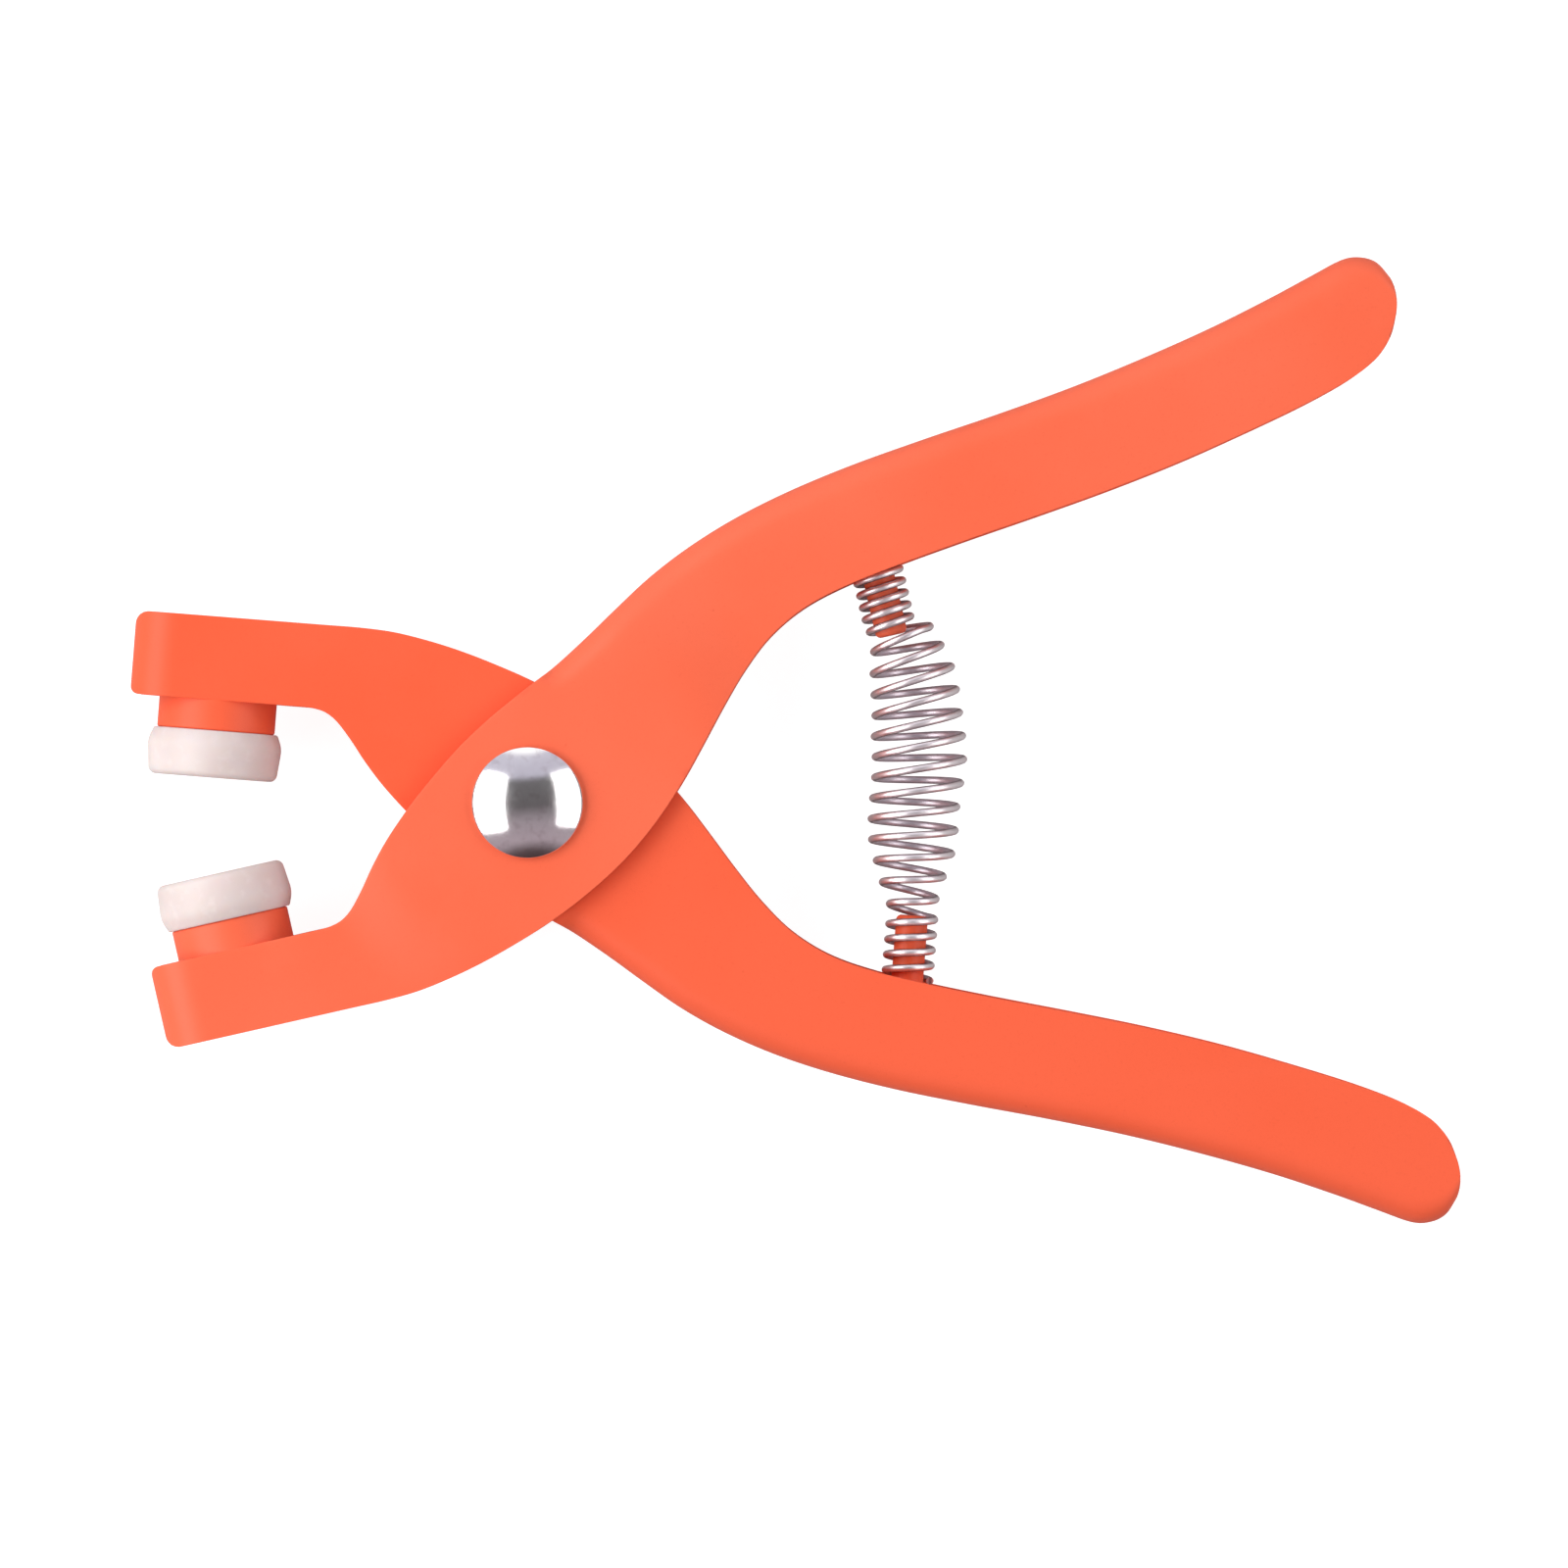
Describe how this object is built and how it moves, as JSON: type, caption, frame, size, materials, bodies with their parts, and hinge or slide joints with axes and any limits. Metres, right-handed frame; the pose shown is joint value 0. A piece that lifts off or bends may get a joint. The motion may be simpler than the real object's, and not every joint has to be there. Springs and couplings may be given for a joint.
{
  "type": "snap setter pliers",
  "caption": "Hand pliers of folded steel sheet that squeeze a snap fastener between two round nylon dies, opened by a barrel spring between the handles.",
  "frame": {"origin": "on the pivot axis, on the flat back face of the rivet's tail, which is the plane the pliers lie on", "axes": "+Z along the pivot axis, out of the rivet's domed head; +X along the open pliers' centre line to the handle ends; +Y towards the front lever's handle"},
  "size_m": [0.1528, 0.1148, 0.0239],
  "materials": {
    "painted_steel": "satin orange powder coat",
    "white_nylon": "satin moulded off-white nylon",
    "polished_nickel": "polished nickel plate",
    "plated_steel": "zinc plate",
    "spring_wire": "bright drawn spring wire"
  },
  "bodies": {
    "front_lever_body": {"front_lever": "painted_steel", "lower_die_post": "painted_steel", "lower_die": "white_nylon", "upper_spring_peg": "painted_steel", "pivot_rivet": "polished_nickel", "pivot_washer": "plated_steel", "pivot_spacer": "plated_steel", "return_spring": "spring_wire"},
    "rear_lever_body": {"rear_lever": "painted_steel", "upper_die_post": "painted_steel", "upper_die": "white_nylon", "lower_spring_peg": "painted_steel"}
  },
  "joints": [
    {"name": "jaw_pivot", "type": "hinge", "parent": "front_lever_body", "child": "rear_lever_body", "pos_m": [0, 0, 0.01205], "axis": [0, 0, 1], "range_deg": [0, 17.1], "stiffness_Nm_per_rad": 0.9, "springref_deg": -8.59, "deforming": ["return_spring"]}
  ]
}
